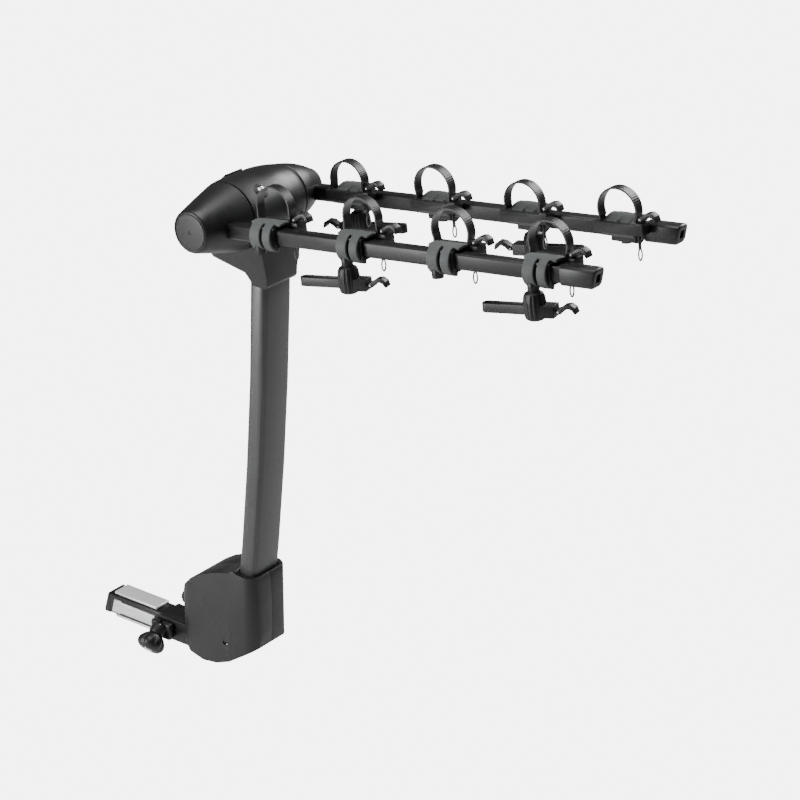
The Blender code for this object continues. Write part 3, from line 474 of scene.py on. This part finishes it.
# ---------------------------------------------------------------- Head barrel
# A hollow moulded barrel across the mast's top that holds the cross shaft, turned with eased
# shoulders. Its wall has no bore for the key cylinder, which passes straight through it.
head_low, head_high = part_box("head_housing")
head_centre = (head_low + head_high) / 2.0
head_axis = facing((head_centre.x, 0.0, joint_named["arm_fold"]["pos_m"][2]), (0.0, 1.0, 0.0))
barrel = turned("barrel_shell", [(-68.0, 57.2), (-67.2, 58.2), (-60.0, 59.0), (-46.0, 59.5),
                                 (-20.0, 59.5), (0.0, 59.5), (10.0, 59.2), (22.0, 58.4),
                                 (34.0, 56.9), (46.0, 54.8), (58.0, 52.2), (66.6, 50.0),
                                 (68.0, 48.8), (68.0, 44.0), (55.0, 44.0), (55.0, 10.3),
                                 (48.0, 10.3), (48.0, 44.0), (-48.0, 52.0), (-48.0, 10.3),
                                 (-55.0, 10.3), (-55.0, 52.0), (-68.0, 52.0)], head_axis, 128)
fit(barrel, black_plastic, "mast", ["head_housing"])
lock_joint = joint_named["head_key_turn"]
lock_frame = facing(lock_joint["pos_m"], lock_joint["axis"], (0.0, 1.0, 0.0))
lock_core("barrel_key_cylinder", "head_lock_core", "head_core", lock_frame, 7.6, 62.4)
collar = turned("barrel_lock_collar", [(56.0, 8.3), (56.0, 13.0), (59.6, 12.6), (61.0, 11.0),
                                       (61.2, 9.4), (60.4, 8.3)], lock_frame, 48)
fit(collar, black_plastic, "mast")
refine("fold_release_lever", black_plastic, 1.0)

# ---------------------------------------------------------------- Arm hubs
# Tapered moulded ends of the barrel that turn with the arms, a disc's outline turned into each
# nose. A row is a hub's side, its radii at seam and nose, where the nose ends, how far the flank
# swells, and where the shaft's hole ends.
noses = {"near": (-1.0, 58.0, 35.5, 157.0, 0.3, 142.3), "far": (1.0, 50.0, 25.0, 140.0, 3.2, 128.3)}
for name, (side, seam, nose, tip, bulge, hole) in noses.items():
    hub_frame = head_axis @ Matrix.Rotation(math.pi if side < 0.0 else 0.0, 4, "X")
    outline = [(68.6, 10.3), (68.6, seam - 3.4), (68.9, seam - 2.2), (69.8, seam - 1.2),
               (71.4, seam - 0.6)]
    for step in range(1, 12):
        share = step / 12.0
        swell = bulge * math.sin(math.pi * share)
        outline.append((71.4 + (tip - 4.2 - 71.4) * share,
                        seam - 0.6 + (nose + 0.6 - seam) * share + swell))
    outline += [(tip - 3.4, nose - 0.3), (tip - 1.4, nose - 1.3), (tip - 0.1, nose - 2.7),
                (tip + 0.5, nose - 4.4), (tip + 0.3, nose - 5.2), (tip - 0.8, nose - 5.6),
                (tip - 0.8, nose - 6.4), (tip + 0.4, nose - 6.9), (tip + 0.9, 0.6 * nose),
                (tip + 1.1, 3.0), (tip + 0.3, 2.2), (tip + 0.3, 0.0), (hole, 0.0), (hole, 10.3)]
    hub = turned(name + "_hub_shell", outline, hub_frame, 128)
    fit(hub, black_plastic, "arms", [name + "_arm_hub"], 28.0)

# ---------------------------------------------------------------- Arm end caps
# Moulded sleeves over the arms' ends, each with a raked end face and a small slot. They are
# the plain solids with their edges eased.
for name in ("near", "far"):
    refine(name + "_arm_cap", black_plastic, 1.2)

# ---------------------------------------------------------------- Cradles
# Black moulded saddles clamped round the arms, with soft grey rubber moulded over the parts that
# touch a bicycle: two lobes round the arm and a sloping pad between the strap's feet.
saddle_rubber = finish_material("grey_saddle_rubber", (0.075, 0.082, 0.081), 0.62, 800.0, 0.06,
                                0.14, 0.06, 0.0, 0.1, (0.14, 0.15, 0.15))
arm_rise = 6.93
arm_turn = Matrix.Rotation(math.radians(-arm_rise), 4, "Y")
sides = {"near": -1.0, "far": 1.0}
strap_half = 33.3
strap_inset = 20.3
pin_above = 24.0
pin_ahead = strap_half + 6.5
cradle_frames = {}
for name, side in sides.items():
    for number in range(1, 5):
        pivot = Vector(joint_named[f"{name}_latch_{number}_lift"]["pos_m"])
        offset = arm_turn.to_3x3() @ Vector((pin_ahead, -side * strap_inset, pin_above)) * MM
        cradle_frames[name, number] = Matrix.Translation(pivot - offset) @ arm_turn


def plate(name, outline, low, high, axis, place):
    """A flat outline in mm pulled into a solid along an axis, Y or X."""
    bpy.ops.object.select_all(action="DESELECT")
    bpy.ops.mesh.primitive_circle_add(vertices=len(outline), fill_type="NGON")
    piece = bpy.context.object
    piece.name = name
    for vertex, (a, b) in zip(piece.data.vertices, outline):
        vertex.co = Vector((low, a, b) if axis == "X" else (a, low, b)) * MM
    pull = Vector((high - low, 0.0, 0.0) if axis == "X" else (0.0, high - low, 0.0)) * MM
    bpy.ops.object.mode_set(mode="EDIT")
    bpy.ops.mesh.select_all(action="SELECT")
    bpy.ops.mesh.extrude_region_move(TRANSFORM_OT_translate={"value": pull})
    bpy.ops.mesh.select_all(action="SELECT")
    bpy.ops.mesh.normals_make_consistent(inside=False)
    bpy.ops.object.mode_set(mode="OBJECT")
    piece.data.transform(place)
    return piece


def bow(centre, radius, start, end, steps):
    """Points along an arc between two angles in degrees."""
    points = []
    for step in range(steps + 1):
        angle = math.radians(start + (end - start) * step / steps)
        points.append((centre[0] + radius * math.cos(angle),
                       centre[1] + radius * math.sin(angle)))
    return points


lobe_shape = bow((0.0, 0.0), 24.4, -84.0, 58.0, 22) + [(4.0, 22.4), (-14.0, 21.4), (-29.4, 15.4)]
lobe_shape += [(-29.4, 12.4), (-14.0, 17.0), (5.0, 18.6)] + bow((0.0, 0.0), 20.6, 52.0, -84.0, 18)
pad_shape = [(8.0, 22.2), (-2.0, 23.0), (-12.0, 21.4), (-21.0, 16.6), (-27.5, 9.0), (-30.0, -4.0),
             (-27.0, -6.0), (-25.0, 5.0), (-19.0, 12.5), (-10.0, 17.0), (8.0, 17.6)]
for (name, number), place in cradle_frames.items():
    side = sides[name]
    refine(f"{name}_cradle_{number}", black_plastic, 0.5, 2, 35.0)
    for label, low, high in (("left", -22.4, -2.6), ("right", 2.6, 18.4)):
        lobe = plate(f"{name}_lobe_{label}_{number}", [(side * y, z) for y, z in lobe_shape],
                     low, high, "X", place)
        round_edges(lobe, 1.3, 3, 40.0)
        fit(lobe, saddle_rubber, "arms")
    pad = plate(f"{name}_pad_{number}", [(side * y, z) for y, z in pad_shape], -28.6, 28.6, "X",
                place)
    round_edges(pad, 1.8, 4, 30.0)
    fit(pad, saddle_rubber, "arms")

# ---------------------------------------------------------------- Straps
# Ribbed rubber straps that loop over a bicycle's tube from foot to foot, with a narrow tail and
# a pull ring. The real ones bend; here loop, tail and ring are rigid and ride with the arms.
strap_rubber = finish_material("strap_rubber", (0.0075, 0.0076, 0.008), 0.34, 900.0, 0.04, 0.15,
                               0.06, 0.0, 0.1, (0.03, 0.03, 0.031))
strap_thick = 3.0
strap_wide = 17.0
tail_half = 3.0
# Each row is a loop's outer radius, a height half a mm above its top, and its shift along the arm.
strap_rings = {"near": ((33.3, 74.0, 0.0), (32.5, 73.5, 0.0), (34.8, 73.0, -1.5),
                        (34.8, 73.0, 1.0)),
               "far": ((33.3, 67.0, 1.0), (34.8, 73.0, 1.0), (33.5, 64.0, 0.0),
                       (34.8, 71.0, 1.0))}


def strap_line(radius, top, lean, grow, ribs):
    """One face of a strap as points from foot to foot, flat or ribbed."""
    foot = strap_half - strap_thick / 2.0
    middle = radius - strap_thick / 2.0
    drop = 20.0 if middle > foot + 0.5 else 4.0
    points = [(-foot - grow, 13.8), (-foot - grow, 20.5)]
    for step in range(109):
        angle = math.radians(180.0 + drop - (180.0 + 2.0 * drop) * step / 108)
        rib = 0.35 if ribs and step % 3 == 0 else 0.0
        reach = middle + grow - rib
        points.append((lean + reach * math.cos(angle), top - 0.5 - radius + reach * math.sin(angle)))
    return points + [(foot + grow, 20.5), (foot + grow, 13.8)]


for (name, number), place in cradle_frames.items():
    side = sides[name]
    radius, top, lean = strap_rings[name][number - 1]
    edges = (strap_inset - strap_wide / 2.0, strap_inset + strap_wide / 2.0)
    low, high = sorted(-side * edge for edge in edges)
    outline = strap_line(radius, top, lean, strap_thick / 2.0, True)
    outline += list(reversed(strap_line(radius, top, lean, -strap_thick / 2.0, False)))
    strap = plate(f"{name}_strap_loop_{number}", outline, low, high, "Y", place)
    fit(strap, strap_rubber, "arms", [f"{name}_strap_{number}"], 40.0)
    tail = plate(f"{name}_strap_tail_{number}", [(30.7, -24.5), (33.1, -24.5), (33.1, 16.0),
                                                 (30.7, 16.0)],
                 -side * strap_inset - tail_half, -side * strap_inset + tail_half, "Y", place)
    round_edges(tail, 0.7, 2)
    fit(tail, strap_rubber, "arms")
    ring_frame = place @ Matrix.Translation(Vector((31.8, -side * strap_inset, -31.8)) * MM)
    ring = turned(f"{name}_pull_ring_{number}", [(y, 8.4 + z) for y, z in bow((0.0, 0.0), 1.4,
                                                                             0.0, 324.0, 9)],
                  Matrix.Identity(4), 36)
    only(ring)
    bpy.ops.object.mode_set(mode="EDIT")
    bpy.ops.mesh.select_all(action="SELECT")
    bpy.ops.transform.resize(value=(1.05, 0.55, 1.0), center_override=(0.0, 0.0, 0.0))
    bpy.ops.object.mode_set(mode="OBJECT")
    turn = Matrix(((0, 0, 1, 0), (0, 1, 0, 0), (1, 0, 0, 0), (0, 0, 0, 1)))
    ring.data.transform(ring_frame @ turn)
    only(ring)
    bpy.ops.object.mode_set(mode="EDIT")
    bpy.ops.mesh.select_all(action="SELECT")
    bpy.ops.mesh.normals_make_consistent(inside=False)
    bpy.ops.object.mode_set(mode="OBJECT")
    fit(ring, saddle_rubber, "arms")

# ---------------------------------------------------------------- Buckles
# Curved lift-up levers on steel pins, one for each strap and each sway cage. Their pawls and
# springs aren't modelled.
for node in sorted(body_named):
    if "latch" in node:
        refine(node, black_plastic, 1.1, 3)
        joint = joint_named[node + "_lift"]
        place = facing(joint["pos_m"], joint["axis"])
        pin = turned(node + "_pin", [(-8.6, 0.0), (-8.6, 1.2), (-8.2, 1.6), (8.2, 1.6),
                                     (8.6, 1.2), (8.6, 0.0)], place, 16)
        fit(pin, bright_zinc, node)

# ---------------------------------------------------------------- Sway cages
# Ribbed domes that hang under four saddles and turn about their own upright axes. Each holds a
# loop on one side and a buckle on the other, to stop a bicycle's frame from swinging.
for name, number in (("near", 2), ("near", 4), ("far", 1), ("far", 3)):
    node = f"{name}_sway_cage_{number}"
    refine(node, black_plastic, 0.8, 2, 32.0)
    joint = joint_named[f"{name}_sway_{number}_swivel"]
    place = facing(joint["pos_m"], joint["axis"], (1.0, 0.0, 0.0))
    dome = turned(f"{name}_sway_dome_{number}",
                  [(0.0, 0.0), (0.0, 8.0), (-1.0, 10.4), (-3.0, 13.8), (-8.0, 16.0),
                   (-18.0, 17.2), (-38.0, 15.6), (-41.0, 14.0), (-43.0, 11.0), (-43.0, 0.0)],
                  place, 96, 16, 1.2, (-41.0, -3.5, 12.0))
    fit(dome, black_plastic, f"{name}_sway_{number}")

low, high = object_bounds()
